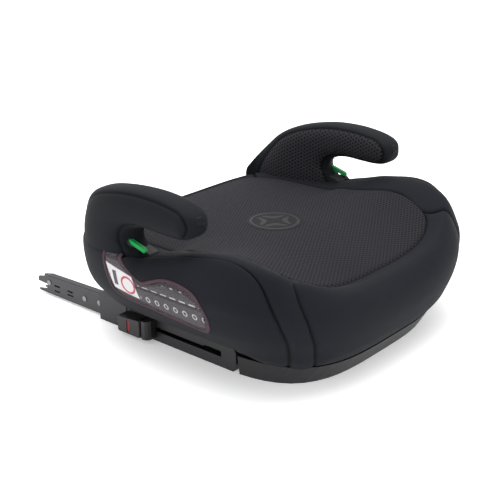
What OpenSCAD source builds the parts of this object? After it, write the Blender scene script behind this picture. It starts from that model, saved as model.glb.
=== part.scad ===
// Booster seat with two sliding lower-anchor connectors.
// +Z is up, -Y is the front of the seat, +X is the left of the child who sits in it.
// The origin is the middle of the flat base, on the ground. Left-hand pieces are
// modelled and the right-hand ones are their mirror images.

/* [Base] */
// Half width of the base at the ground
base_half_w = 152; // [146:1:153]
// Reach of the base ahead of the origin at the ground
base_front = 141; // [136:1:144]
// Height of the base tray under the cover
base_h = 23.7; // [20:0.1:23.7]
// Wall of the moulded base tray
tray_wall = 3; // [2.5:0.5:3.5]
// Pitch of the ribs in the tray
rib_pitch = 44; // [40:2:60]

/* [Seat] */
// Half width of the seat over its covers
seat_half_w = 206; // [200:1:208]
// Length from the origin to the rear face
seat_rear = 190; // [186:1:192]
// Height of the seat's front edge
seat_front_z = 101; // [98:1:104]
// Height of the middle of the seat
seat_mid_z = 121.5; // [118:0.5:124]
// Thickness of the seat cushion
pad_t = 12; // [8:1:14]
// Thickness of the padded side, front and rear covers
cover_t = 6; // [4:0.5:7]
// Wall of the plastic seat shell
shell_t = 3.5; // [3:0.5:4]

/* [Armrests] */
// Height of the armrests
arm_top = 205.5; // [198:0.5:210]
// Inside face of the armrest, from the middle
arm_inner_x = 163; // [161:1:166]
// Thickness of the padded cover on an armrest
arm_pad_t = 8; // [6:0.5:10]

/* [Connectors] */
// Distance between the two lower-anchor connectors
connector_pitch = 280; // [280:0.5:280.5]
// Length by which a connector slides in
connector_travel = 112; // [60:4:112]
// Length of a connector arm
arm_len = 183; // [176:1:184]
// Height of a connector arm
connector_h = 26; // [25.5:0.5:27]
// Width across the two plates of a connector arm
connector_w = 12; // [11.5:0.5:12.5]
// Sheet thickness of the arm plates
plate_t = 2; // [1.5:0.25:2.25]
// Angle through which a latch jaw closes
jaw_swing = 35; // [25:1:36]
// Travel of a release slider
release_travel = 8; // [4:1:8]

/* [Hidden] */
$fn = 40;
eps = 0.01;
fit = 0.3;

// Points round one ring of the seat's surface, and the pitch between them
ring_n = 72;
ring_step = 360 / ring_n;

// Lower-anchor connectors
rail_x = connector_pitch / 2;
rail_w = 22;
rail_h = 36;
rail_wall = 2.2;
rail_front = -48;
rail_rear = 175;
rail_block = 127;
slot_z = 12.5;
slot_h = 5.5;
slot_front = -26;
slot_rear = 125;
arm_z = 3;
arm_front = 118;
arm_tip = arm_front + arm_len;
mouth_z = arm_z + 9;
mouth_r = 3.4;
mouth_y = arm_tip - 16;
rivet_d = 5;
rivet_head = 0.8;
rivet_at = [[arm_tip - 119, arm_z + 14.3], [arm_tip - 91, arm_z + 12.2], [arm_tip - 22, arm_z + 15.4]];
neck_y = [108, 122];
lug_y = [99, 104];
grip_y = [74, 124];
grip_z = [5, 27.5];
grip_face = rail_x + rail_w / 2 + 1.2;
grip_out = 16.4;
gap_y = [52, 181];

// ---------------------------------------------------------------- surface of the seat

// Distance from the axis to a rounded rectangle, in the direction t
function reach(t, w, d, n) = pow(pow(abs(cos(t)) / w, n) + pow(abs(sin(t)) / d, n), -1 / n);

// How far a direction points to the front or to the rear, from 0 to 1
function frontness(t) = pow(max(0, -sin(t)), 4);
function rearness(t) = pow(max(0, sin(t)), 4);
function mixed(a, b, f) = a + (b - a) * f;
function step_up(v, a, b) = let (s = min(1, max(0, (v - a) / (b - a)))) s * s * (3 - 2 * s);

// Height of the seat along its middle, at its sides, and anywhere on it
function middle_z(y) = mixed(seat_mid_z, seat_front_z, pow(max(0, -y - 12) / 119, 2))
    - 3.5 * pow(max(0, y) / seat_rear, 2);
function side_z(y) = 121.5 + 6.5 * (1 - step_up(y, 20, 50)) + 13 * exp(-pow((y + 55) / 50, 2));
function seat_z(x, y) = mixed(middle_z(y), side_z(y), pow(min(1, abs(x) / 148), 3));

// One point of the surface: ring k from the hem (0) over the rim to the middle (10), in
// the direction t, moved inwards by d
rings = 10;
hem_ring = 0;
shoulder_ring = 5;
edge_ring = 7;
function wall_reach(t, w, f, r, nf, nr) = sin(t) < 0 ? reach(t, w, f, nf) : reach(t, w, r, nr);
function flat(t, r, z) = [r * cos(t), r * sin(t), z];
function seat_point(t, f, d) =
    let (r = f * wall_reach(t, 149, 131, seat_rear - 9, 5, 6))
    [r * cos(t), r * sin(t), seat_z(r * cos(t), r * sin(t)) - d];
function crown_z(t) =
    let (p = seat_point(t, 1, 0))
    p[2] + mixed(mixed(8, -1, frontness(t)), 0, step_up(t > 180 ? t - 360 : t, -5, 12));
function skin(k, t, d) =
    let (w = seat_half_w, r = seat_rear, ff = frontness(t), rf = rearness(t))
    k == 0 ? flat(t, wall_reach(t, 157, 155, r - 13, 3.6, 5) - d, 24) :
    k == 1 ? flat(t, wall_reach(t, w - 37, 161, r - 9, 3.5, 4.9) - d, 34) :
    k == 2 ? flat(t, wall_reach(t, w - 28, 166, r - 6, 3.4, 4.7) - d, 45) :
    k == 3 ? flat(t, wall_reach(t, w - 11, 171, r - 2, 3.4, 4.7) - d, mixed(70, 64, ff)) :
    k == 4 ? flat(t, wall_reach(t, w - 2, 169, r, 3.4, 4.7) - d, mixed(mixed(94, 81, ff), 92, rf)) :
    k == 5 ? flat(t, wall_reach(t, w, 161, r, 3.3, 4.7) - d * 0.9,
        mixed(mixed(114, 92, ff), 108, rf) - d * 0.4) :
    k == 6 ? flat(t, wall_reach(t, w - 16, 149, r - 3, 3.3, 4.7) - d * 0.4, crown_z(t) - d) :
    seat_point(t, (rings - k) / (rings - edge_ring), d);

// Depth of the shell below the covers and, from the cushion's edge inwards, below the cushion
shell_gap = 1.7;
function shell_depth(k) = (k < edge_ring ? cover_t : pad_t) + shell_gap;

// A closed solid between two grids of points with the same rows and columns
module slab(outer, inner) {
    rows = len(outer);
    cols = len(outer[0]);
    n = rows * cols;
    points = concat([for (row = outer) each row], [for (row = inner) each row]);
    function at(i, j) = i * cols + j;
    faces = concat(
        [for (i = [0 : rows - 2], j = [0 : cols - 2]) each [
            [at(i, j), at(i, j + 1), at(i + 1, j + 1)], [at(i, j), at(i + 1, j + 1), at(i + 1, j)],
            [n + at(i, j), n + at(i + 1, j + 1), n + at(i, j + 1)],
            [n + at(i, j), n + at(i + 1, j), n + at(i + 1, j + 1)]]],
        [for (i = [0 : rows - 2], j = [0, cols - 1]) let (f = j == 0) each [
            f ? [at(i, j), at(i + 1, j), n + at(i + 1, j)] : [at(i, j), n + at(i + 1, j), at(i + 1, j)],
            f ? [at(i, j), n + at(i + 1, j), n + at(i, j)] : [at(i, j), n + at(i, j), n + at(i + 1, j)]]],
        [for (j = [0 : cols - 2], i = [0, rows - 1]) let (f = i == 0) each [
            f ? [at(i, j), n + at(i, j), n + at(i, j + 1)] : [at(i, j), n + at(i, j + 1), n + at(i, j)],
            f ? [at(i, j), n + at(i, j + 1), at(i, j + 1)] : [at(i, j), at(i, j + 1), n + at(i, j + 1)]]]);
    polyhedron(points, faces, convexity = 6);
}

// A cover panel: rings k0 to k1 of the surface between the directions t0 and t1
module panel(k0, k1, t0, t1) {
    slab([for (t = [t0 : ring_step : t1]) [for (k = [k0 : k1]) skin(k, t, 0)]],
        [for (t = [t0 : ring_step : t1]) [for (k = [k0 : k1]) skin(k, t, cover_t)]]);
}

// A closed solid of rings that all go round the seat, with a pole in the middle:
// k0 is its outermost ring, and the two depths give its upper and lower face
module bowl(k0, depth_a, depth_b) {
    count = rings - k0;
    upper = [for (k = [k0 : rings - 1], i = [0 : ring_n - 1]) skin(k, i * ring_step, depth_a(k))];
    lower = [for (k = [k0 : rings - 1], i = [0 : ring_n - 1]) skin(k, i * ring_step, depth_b(k))];
    n = count * ring_n;
    function at(k, i) = k * ring_n + (i % ring_n);
    points = concat(upper, lower, [skin(rings, 0, depth_a(rings)), skin(rings, 0, depth_b(rings))]);
    faces = concat(
        [for (k = [0 : count - 2], i = [0 : ring_n - 1]) each [
            [at(k, i), at(k + 1, i), at(k + 1, i + 1)], [at(k, i), at(k + 1, i + 1), at(k, i + 1)],
            [n + at(k, i), n + at(k + 1, i + 1), n + at(k + 1, i)],
            [n + at(k, i), n + at(k, i + 1), n + at(k + 1, i + 1)]]],
        [for (i = [0 : ring_n - 1]) each [
            [at(0, i), at(0, i + 1), n + at(0, i + 1)], [at(0, i), n + at(0, i + 1), n + at(0, i)],
            [at(count - 1, i), 2 * n, at(count - 1, i + 1)],
            [n + at(count - 1, i), n + at(count - 1, i + 1), 2 * n + 1]]]);
    polyhedron(points, faces, convexity = 8);
}

// ---------------------------------------------------------------- general helpers

module right() { mirror([1, 0, 0]) children(); }

// A side outline, drawn as [y, z], with a thickness from x0 to x1
module plate(x0, x1) {
    translate([x0, 0, 0]) rotate([90, 0, 90]) linear_extrude(x1 - x0) children();
}

module block(a, b) { translate(a) cube(b - a); }

// A cylinder along X, centred on [y, z]
module bar(x0, x1, at, d) {
    translate([x0, at[0], at[1]]) rotate([0, 90, 0]) cylinder(h = x1 - x0, d = d);
}

// ---------------------------------------------------------------- base

// Outline of the base at a height, drawn in by a wall
module base_outline(wall, f) {
    polygon([for (i = [0 : ring_n - 1]) let (t = i * ring_step,
        r = wall_reach(t, base_half_w + 3 * f, base_front + 14 * f, 174 + 2 * f, 3.6, 7) - wall)
        [r * cos(t), r * sin(t)]]);
}

module base_block(wall, z0) {
    hull() {
        translate([0, 0, z0]) linear_extrude(eps) base_outline(wall, z0 / base_h);
        translate([0, 0, base_h - eps + (wall > 0 ? 1 : 0)]) linear_extrude(eps) base_outline(wall, 1);
    }
}

rail_bay = rail_x - rail_w / 2 - fit;
bay_front = -53;
boss_at = [for (x = [-88, 88], y = [-88, 22, 132]) [x, y]];
boss_d = 11;
rib_t = 2;
brace_y = [146, 168];
rail_ear_y = [-30, 40, 110];
rail_ear_z = 8;

module base_tray() {
    color("#38373b") difference() {
        union() {
            difference() {
                base_block(0, 0);
                difference() {
                    base_block(tray_wall, tray_wall);
                    for (s = [0, 1]) mirror([s, 0, 0]) {
                        block([rail_bay - tray_wall, bay_front - tray_wall, -1], [rail_bay, 200, 60]);
                        block([rail_bay - 1, bay_front - tray_wall, -1], [rail_bay + 40, bay_front, 60]);
                    }
                }
            }
            for (i = [-2 : 2]) block([i * rib_pitch - rib_t / 2, -118, 1], [i * rib_pitch + rib_t / 2, 168, 15]);
            for (i = [-2 : 3]) block([-122, i * rib_pitch - rib_t / 2, 1], [122, i * rib_pitch + rib_t / 2, 13]);
            for (p = boss_at) translate([p[0], p[1], 1]) cylinder(h = 17, d = boss_d);
        }
        for (s = [0, 1]) mirror([s, 0, 0]) block([rail_bay, bay_front, -1], [200, 200, 60]);
        for (p = boss_at) translate([p[0], p[1], -1]) {
            cylinder(h = 40, d = 4.6);
            cylinder(h = 5, d = 9);
        }
        block([-130, brace_y[0] - fit, 10.7], [130, brace_y[1] + fit, 60]);
        for (s = [0, 1], y = rail_ear_y) mirror([s, 0, 0])
            bar(rail_bay - tray_wall - 1, rail_bay + 1, [y, rail_ear_z], 3.4);
    }
}

module base_screws() {
    color("silver") for (p = boss_at) translate([p[0], p[1], 1.2]) difference() {
        union() {
            cylinder(h = 2.6, d = 8);
            cylinder(h = 27, d = 4);
        }
        translate([0, 0, -1]) cylinder(h = 2.6, d = 3.5, $fn = 6);
    }
}

// Pressed steel member that ties the two rails together
module cross_brace() {
    color("#4a494e") plate(3.5 - rail_bay, rail_bay - 3.5)
        difference() {
            translate([brace_y[0], 11]) square([brace_y[1] - brace_y[0], 11]);
            translate([brace_y[0] + 2, 9]) square([brace_y[1] - brace_y[0] - 4, 11]);
        }
}

// ---------------------------------------------------------------- rails

module rail_housing() {
    x0 = rail_x - rail_w / 2;
    x1 = rail_x + rail_w / 2;
    color("#3b3a3e") difference() {
        union() {
            plate(x0, x1) polygon([[rail_front + 4, 0], [rail_rear, 0], [rail_rear, rail_h],
                [rail_front + 9, rail_h], [rail_front, rail_h - 12], [rail_front, 10]]);
            plate(x0 - 0.1, x1 + 1) polygon([[rail_block + 3, 0], [rail_rear, 0], [rail_rear, rail_h],
                [rail_block + 3, rail_h], [rail_block, rail_h - 4], [rail_block, 4]]);
        }
        block([x0 + rail_wall, rail_front + 4, 2.5], [x1 - rail_wall, rail_rear + 1, rail_h - 2.5]);
        block([x1 - rail_wall - 1, slot_front, slot_z], [x1 + 3, slot_rear, slot_z + slot_h]);
        block([x1 - rail_wall - 1, slot_front, slot_z], [x1 + 3, 0, slot_z + slot_h + 1.8]);
        for (y = rail_ear_y) bar(x0 - 1, x0 + 4, [y, rail_ear_z], 3.4);
    }
}

module rail_screws() {
    color("silver") for (y = rail_ear_y) {
        bar(rail_bay - tray_wall - 2.1, rail_bay - tray_wall - 0.1, [y, rail_ear_z], 7);
        bar(rail_bay - tray_wall - 0.2, rail_bay + 2, [y, rail_ear_z], 3);
    }
}

// ---------------------------------------------------------------- seat shell and armrests

module shell_cutter() {
    for (s = [0, 1]) mirror([s, 0, 0]) block([100, bay_front - 2, 0], [220, 220, rail_h + fit]);
}

module seat_shell() {
    color("#2c2c30") {
        difference() {
            bowl(hem_ring, function (k) shell_depth(k), function (k) shell_depth(k) + shell_t);
            shell_cutter();
        }
        for (p = boss_at) translate([p[0], p[1], 18.5]) difference() {
            cylinder(h = seat_z(p[0], p[1]) - pad_t - 21, d = boss_d);
            translate([0, 0, -1]) cylinder(h = 14, d = 4.4);
        }
    }
}

// Side outline of an armrest: pairs of points on its upper and its lower edge, from the
// tip back to the root that stands on the seat's side
function armrest_stations(top) = [
    [[-37.5, top - 20], [-37.5, top - 22]],
    [[-33, top - 9.5], [-34, top - 33]],
    [[-22, top - 4.5], [-24, top - 39]],
    [[-6, top - 1.5], [-8, top - 42]],
    [[25, top], [12, top - 44]],
    [[60, top - 0.8], [40, top - 44.5]],
    [[95, top - 5], [58, top - 49]],
    [[125, top - 12], [66, top - 58]],
    [[150, top - 23], [65, top - 68]],
    [[169, top - 43], [58, top - 75]],
    [[177, top - 62], [gap_y[0] + 2, 125.5]],
    [[gap_y[1], 123.3], [gap_y[0], 123.3]]];

// Outer face and inner face of an armrest at a distance along the seat
function outline_x(y) = 207 * pow(1 - pow(min(0.97, max(0, y) / seat_rear), 4.6), 1 / 4.6);
function inner_x(y) = arm_inner_x - 14 * step_up(y, 60, 150);
function rounded(v, n) = sign(v) * pow(abs(v), 2 / n);

// Half of a section's length or width, drawn in by d but never to nothing
function drawn_in(v, d) = v - min(d, 0.6 * v * d / arm_pad_t);

// Round-cornered section of an armrest at one station, drawn in by d
arm_sides = 20;
corner = 3.4;
tip_taper = 34;
function armrest_ring(s, d) = let (low = s[1], up = s[0] - s[1], long = norm(up)) [
    for (i = [0 : arm_sides - 1]) let (
        a = (i + 0.5) * 360 / arm_sides,
        p = low + up * (1 + rounded(cos(a), corner) * 2 * drawn_in(long / 2, d) / long) / 2,
        wide = max(6, outline_x(p[0]) - inner_x(p[0])) * min(1, max(0.3, long / tip_taper)),
        centre = (outline_x(p[0]) + inner_x(p[0])) / 2)
    [centre + drawn_in(wide / 2, d) * rounded(sin(a), corner), p[0], p[1]]];

// The stations' rings, with the first three moved back as they are drawn in
function armrest_rings(d) = [for (i = [0 : len(armrest_stations(arm_top)) - 1]) let (
    s = armrest_stations(arm_top)[i],
    back = [d * max(0, 3 - i) / 3, 0])
    armrest_ring([s[0] + back, s[1] + back], d)];

// Faces along a run of n rings that start at point number o
function side_faces(n, o, out) = [for (i = [0 : n - 2], j = [0 : arm_sides - 1]) let (
    a = o + i * arm_sides + j,
    b = o + i * arm_sides + (j + 1) % arm_sides) each (out
    ? [[a, b, b + arm_sides], [a, b + arm_sides, a + arm_sides]]
    : [[a, b + arm_sides, b], [a, a + arm_sides, b + arm_sides]])];

module armrest_frame() {
    ring_list = armrest_rings(arm_pad_t + fit);
    n = len(ring_list);
    color("#2c2c30") polyhedron([for (r = ring_list) each r], concat(
        [[for (j = [0 : arm_sides - 1]) arm_sides - 1 - j]],
        [[for (j = [0 : arm_sides - 1]) (n - 1) * arm_sides + j]],
        side_faces(n, 0, true)), convexity = 6);
}

// Padded cover, open below, where it is sewn round the foot of the armrest
module armrest_cover() {
    outer = armrest_rings(0);
    n = len(outer);
    m = n * arm_sides;
    last = (n - 1) * arm_sides;
    color("#23262b") polyhedron([for (r = concat(outer, armrest_rings(arm_pad_t))) each r], concat(
        [[for (j = [0 : arm_sides - 1]) arm_sides - 1 - j]],
        [[for (j = [0 : arm_sides - 1]) m + j]],
        side_faces(n, 0, true), side_faces(n, m, false),
        [for (j = [0 : arm_sides - 1]) let (k = (j + 1) % arm_sides) each [
            [last + j, last + k, m + last + k], [last + j, m + last + k, m + last + j]]]), convexity = 6);
}

// ---------------------------------------------------------------- belt guide

// Chute that leads the lap belt into the gap below the armrest: a sloping plate with a
// rounded lip, on two webs that stand on a foot in the seat's side
module belt_guide() {
    color("#17c26a") {
        plate(165, 205.5) polygon([[33, 140.6], [61.5, 149.6], [62, 151.6], [59.5, 153], [33, 144.2], [31.6, 142]]);
        for (x = [168, 193]) plate(x, x + 3)
            polygon([[38, 130.5], [54.5, 130.5], [61, 138], [61.5, 149.6], [38, 142.2]]);
        plate(168, 196) polygon([[40, 130.5], [54.5, 130.5], [56, 133], [40, 133]]);
    }
}

// ---------------------------------------------------------------- soft pieces

module seat_pad() {
    color("#34343a") bowl(edge_ring, function (k) 0, function (k) pad_t);
}

module front_panel() {
    color("#202329") panel(hem_ring, edge_ring, 220, 320);
}

module rear_panel() {
    color("#202329") difference() {
        panel(hem_ring, edge_ring, 50, 130);
        shell_cutter();
    }
}

module side_panel() {
    color("#22252b") difference() {
        panel(hem_ring, shoulder_ring, -40, 50);
        block([100, bay_front - 2, 0], [220, 220, rail_h + fit]);
    }
}

module bolster() {
    color("#22252b") panel(shoulder_ring, edge_ring, -40, 50);
}

// A sheet that lies over the side panel, between two distances out from it
module side_sheet(t0, t1, near, far) {
    right() slab([for (t = [t0 : ring_step : t1]) [for (k = [3 : shoulder_ring]) skin(k, t, -far)]],
        [for (t = [t0 : ring_step : t1]) [for (k = [3 : shoulder_ring]) skin(k, t, -near)]]);
}

module pocket_window() {
    color("#6b6668") side_sheet(-15, 25, 1.6, 2.2);
}

module info_leaflet() {
    color("#2b2b2e") side_sheet(-10, 20, 0.4, 1.2);
}

// ---------------------------------------------------------------- connector arms

// Top edge of an arm plate, which tapers from the rail's mouth to the tip
taper_start = arm_tip - 117;
taper_end = arm_tip - 16;
tip_h = connector_h - 2.8;
function plate_top(y) =
    arm_z + mixed(connector_h, tip_h, min(1, max(0, (y - taper_start) / (taper_end - taper_start))));
nose_z = arm_z + 19.6;

// Side outline of an arm plate, with the funnel mouth that takes the anchor bar
module plate_outline() {
    difference() {
        polygon([[arm_front, arm_z], [arm_tip - 4, arm_z], [arm_tip, arm_z + 1.2], [arm_tip, nose_z - 1],
            [arm_tip - 1, nose_z], [taper_end, plate_top(taper_end)], [taper_start, plate_top(taper_start)],
            [arm_front, plate_top(taper_start)]]);
        translate([mouth_y, mouth_z]) circle(r = mouth_r);
        polygon([[mouth_y, mouth_z - mouth_r], [arm_tip + 1, arm_z + 2.2],
            [arm_tip + 1, mouth_z + mouth_r + 0.6], [mouth_y, mouth_z + mouth_r]]);
        for (p = concat(rivet_at, carriage_rivets)) translate(p) circle(d = rivet_d);
    }
}

arm_x0 = rail_x - connector_w / 2;
arm_x1 = rail_x + connector_w / 2;
carriage_rivets = [[arm_front + 9, arm_z + 9], [arm_front + 22, arm_z + 9]];
louvre_at = [[arm_tip - 43, arm_z + 5.6], [arm_tip - 43, arm_z + 12.8],
    [arm_tip - 69, arm_z + 7.4], [arm_tip - 69, arm_z + 12.4]];

// A plate with its two pairs of pressed slots
module arm_plate(x0) {
    plate(x0, x0 + plate_t) difference() {
        plate_outline();
        for (p = louvre_at) translate(p) square([11, 2.4]);
    }
}

module outer_plate() {
    color("#47464b") arm_plate(arm_x1 - plate_t);
}

// The inner plate is folded over along its top edge and closes the arm from above, up to a
// narrow gap beside the outer plate
fold_gap = 1;
module inner_plate() {
    fold_end = arm_tip - 12;
    fold_drop = 1;
    color("#47464b") {
        arm_plate(arm_x0);
        plate(arm_x0 + plate_t - eps, arm_x1 - plate_t - fold_gap) polygon([
            [arm_front + 2, plate_top(arm_front) - plate_t], [taper_start, plate_top(taper_start) - plate_t],
            [taper_end, plate_top(taper_end) - plate_t],
            [fold_end, plate_top(taper_end) - plate_t - fold_drop], [fold_end, plate_top(taper_end) - fold_drop],
            [taper_end, plate_top(taper_end)], [taper_start, plate_top(taper_start)],
            [arm_front + 2, plate_top(arm_front)]]);
    }
}

module arm_rivets() {
    color("#b9babd") for (p = concat(rivet_at, carriage_rivets)) {
        bar(arm_x0 - rivet_head, arm_x1 + rivet_head, p, rivet_d);
        for (x = [arm_x0 - rivet_head, arm_x1]) bar(x, x + rivet_head, p, rivet_d + 2);
    }
}

// Hook that swings down in front of the anchor bar; it is drawn open, above the mouth
module latch_jaw() {
    p = rivet_at[2];
    half = (connector_w - 2 * plate_t) / 2 - 1;
    color("#8b8c90") difference() {
        union() {
            bar(rail_x - half, rail_x + half, p, 8.4);
            plate(rail_x - half, rail_x + half) polygon([p + [-1, 3.9], p + [8, 4.2], p + [13, 4.2],
                p + [15.6, 3], p + [16.5, 0], p + [14.4, -2], p + [12.3, -1.3], p + [11.7, 1.8],
                p + [5.8, 1.2], p + [-1, -3.6]]);
            plate(rail_x - half, rail_x + half) polygon([p + [2.6, -3], p + [1.5, -8],
                p + [-2.5, -7.6], p + [-3.8, -1.5], p + [0, 3]]);
        }
        bar(rail_x - half - 1, rail_x + half + 1, p, rivet_d + 0.12);
    }
}

// A coil along Y from y0 to y1, round [x, z]
module coil(x, z, y0, y1, turns, r, wire) {
    seg = 8;
    sides = 5;
    n = turns * seg;
    function centre(i) = let (a = i * 360 / seg) [x + r * cos(a), y0 + (y1 - y0) * i / n, z + r * sin(a)];
    function wire_point(i, j) = let (a = i * 360 / seg, b = j * 360 / sides)
        centre(i) + wire / 2 * [cos(b) * cos(a), sin(b), cos(b) * sin(a)];
    polyhedron([for (i = [0 : n], j = [0 : sides - 1]) wire_point(i, j)], concat(
        [[for (j = [0 : sides - 1]) sides - 1 - j]], [[for (j = [0 : sides - 1]) n * sides + j]],
        [for (i = [0 : n - 1], j = [0 : sides - 1]) let (b = (j + 1) % sides) each [
            [i * sides + j, i * sides + b, (i + 1) * sides + b],
            [i * sides + j, (i + 1) * sides + b, (i + 1) * sides + j]]]));
}

module jaw_spring() {
    color("#c9cacd") coil(rail_x, arm_z + 8, arm_tip - 60, arm_tip - 37, 6, 2.4, 1);
}

// ---------------------------------------------------------------- carriage and grip

rod_z = [arm_z + 18, arm_z + 21];
rod_half = 1.5;
carriage_y = [90, arm_front];

// Block that carries the arm along the rail; its neck passes through the slot to the grip
module carriage() {
    color("#29292c") difference() {
        union() {
            block([rail_x - 7, carriage_y[0], arm_z + 0.5], [rail_x + 7, carriage_y[1] - 0.2, arm_z + 27.5]);
            block([arm_x0 + plate_t + 0.2, carriage_y[1] - 1, arm_z + 2],
                [arm_x1 - plate_t - 0.2, carriage_y[1] + 30, arm_z + 17]);
            block([rail_x + 6, neck_y[0] - 1, slot_z + 0.7],
                [grip_face, neck_y[1] - 5, slot_z + slot_h - 0.7]);
        }
        block([rail_x - rod_half - 0.5, carriage_y[0] - 1, rod_z[0] - 0.5],
            [rail_x + rod_half + 0.5, carriage_y[1] + 40, rod_z[1] + 0.5]);
        block([rail_x - rod_half - 0.5, carriage_y[0] - 1, slot_z + 0.2],
            [rail_x + 8, lug_y[1] + 1, rod_z[1] + 0.5]);
        for (p = carriage_rivets) bar(arm_x0, arm_x1, p, rivet_d);
    }
}

slider_y = [grip_y[0] + 1.5, grip_y[0] + 12];
tongue_x = [grip_face + 2, grip_face + 11.5];
tongue_z = [slot_z - 1.5, slot_z + 8.5];
window_y = [106, 109.5];
flag_x = [grip_face + grip_out - 3, grip_face + grip_out - 1.4];

// Rounded block whose top rises towards the front, cut at a distance out from the rail
grip_rise = 3.5;
function grip_top(y) = grip_z[1] - 1.5 + grip_rise * (grip_y[1] - y) / (grip_y[1] - slider_y[1]);
module grip_section(y0, y1, r, x, h, inset) {
    translate([grip_face + x, 0, 0]) rotate([90, 0, 90]) linear_extrude(h)
        offset(r = r, $fn = 24) offset(delta = -r - inset) polygon([[y0, grip_z[0]],
            [y1, grip_z[0]], [y1, grip_top(y1)], [y0, grip_top(y0)]]);
}

module grip() {
    color("#19191b") difference() {
        hull() {
            grip_section(slider_y[1] + 1.2, grip_y[1] + 2, 2.5, 0, grip_out - 3, 0);
            grip_section(slider_y[1] + 1.2, grip_y[1] + 2, 2.5, grip_out - 0.5, 0.5, 1.2);
        }
        block([tongue_x[0] - 0.4, slider_y[1], tongue_z[0] - 0.4],
            [tongue_x[1] + 0.4, 120, tongue_z[1] + 0.4]);
        block([grip_face - 1, lug_y[0] - release_travel - 1.5, slot_z],
            [tongue_x[1], lug_y[1] + 1.2, slot_z + slot_h]);
        block([flag_x[0] - 0.3, 95, grip_z[0] + 3], [flag_x[1] + 0.2, 122.5, grip_z[1] - 3]);
        block([flag_x[0], window_y[0], grip_z[0] + 3.6],
            [grip_face + grip_out + 1, window_y[1], grip_z[1] - 3.6]);
    }
}

// Slider at the front of the grip, with thumb grooves round its corner and the tongue that
// draws the rod
thumb_r = 7;
module release_slider() {
    color("#19191b") {
        difference() {
            hull() {
                grip_section(slider_y[0], slider_y[1], 1.5, 0, grip_out - thumb_r, 0);
                for (a = [30 : 30 : 90])
                    grip_section(slider_y[0] + thumb_r * (1 - cos(a)), slider_y[1], 1.2,
                        grip_out - thumb_r * (1 - sin(a)) - 0.2, 0.2, a / 90);
            }
            for (a = [0 : 18 : 72])
                translate([grip_face + grip_out - thumb_r * (1 - sin(a)),
                    slider_y[0] + thumb_r * (1 - cos(a)), 0]) cylinder(h = 40, d = 1.3, $fn = 8);
        }
        block([tongue_x[0], slider_y[1] - 2, tongue_z[0]], [tongue_x[1], lug_y[1] + 1, tongue_z[1]]);
    }
}

module pull_rod() {
    color("#9a9b9f") {
        block([rail_x - rod_half, lug_y[0], rod_z[0]], [rail_x + rod_half, arm_tip - 36, rod_z[1]]);
        block([rail_x - rod_half, lug_y[0], slot_z + 0.7], [rail_x + rod_half, lug_y[1], rod_z[1]]);
        block([rail_x - rod_half, lug_y[0], slot_z + 0.7],
            [tongue_x[0] - 0.1, lug_y[1], slot_z + slot_h - 0.7]);
    }
}

module release_spring() {
    color("#c9cacd") coil((tongue_x[0] + tongue_x[1]) / 2, (tongue_z[0] + tongue_z[1]) / 2,
        lug_y[1] + 1.6, 119.4, 5, 3, 1);
}

// Coloured flag behind the window in the grip
module indicator() {
    color("#c4202f") block([flag_x[0], 98, grip_z[0] + 4], [flag_x[1], 117.5, grip_z[1] - 4]);
}

base_tray();
base_screws();
cross_brace();
seat_shell();
seat_pad();
front_panel();
rear_panel();
rail_housing();  // rail_housing_left
right() rail_housing();  // rail_housing_right
rail_screws();  // rail_screws_left
right() rail_screws();  // rail_screws_right
side_panel();  // side_panel_left
right() side_panel();  // side_panel_right
bolster();  // bolster_left
right() bolster();  // bolster_right
armrest_frame();  // armrest_frame_left
right() armrest_frame();  // armrest_frame_right
armrest_cover();  // armrest_cover_left
right() armrest_cover();  // armrest_cover_right
belt_guide();  // belt_guide_left
right() belt_guide();  // belt_guide_right
pocket_window();
info_leaflet();
outer_plate();  // outer_plate_left
right() outer_plate();  // outer_plate_right
inner_plate();  // inner_plate_left
right() inner_plate();  // inner_plate_right
arm_rivets();  // arm_rivets_left
right() arm_rivets();  // arm_rivets_right
latch_jaw();  // latch_jaw_left
right() latch_jaw();  // latch_jaw_right
jaw_spring();  // jaw_spring_left
right() jaw_spring();  // jaw_spring_right
carriage();  // carriage_left
right() carriage();  // carriage_right
grip();  // grip_left
right() grip();  // grip_right
release_slider();  // release_slider_left
right() release_slider();  // release_slider_right
pull_rod();  // pull_rod_left
right() pull_rod();  // pull_rod_right
release_spring();  // release_spring_left
right() release_spring();  // release_spring_right
indicator();  // indicator_left
right() indicator();  // indicator_right
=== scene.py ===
import math

import bpy
import numpy as np
from mathutils import Matrix


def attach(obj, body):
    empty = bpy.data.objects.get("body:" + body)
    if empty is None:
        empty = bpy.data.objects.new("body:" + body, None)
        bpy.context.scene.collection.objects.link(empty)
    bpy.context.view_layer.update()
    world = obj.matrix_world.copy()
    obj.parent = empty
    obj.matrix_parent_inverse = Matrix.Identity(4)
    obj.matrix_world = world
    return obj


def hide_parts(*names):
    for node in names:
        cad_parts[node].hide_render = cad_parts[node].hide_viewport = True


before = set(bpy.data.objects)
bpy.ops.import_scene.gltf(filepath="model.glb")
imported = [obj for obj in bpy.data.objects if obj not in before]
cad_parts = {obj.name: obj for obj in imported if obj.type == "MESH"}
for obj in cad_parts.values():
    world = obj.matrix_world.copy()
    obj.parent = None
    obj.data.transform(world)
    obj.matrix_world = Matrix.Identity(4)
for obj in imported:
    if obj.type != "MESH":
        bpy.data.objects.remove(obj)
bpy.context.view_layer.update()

# ------------------------------------------------------------------ base tray and rails
# The base is an injection-moulded polypropylene tray with two hollow rail housings screwed to
# its sides. The mould is spark-eroded, so the plastic has a fine grain and a soft satin gloss.


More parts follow.
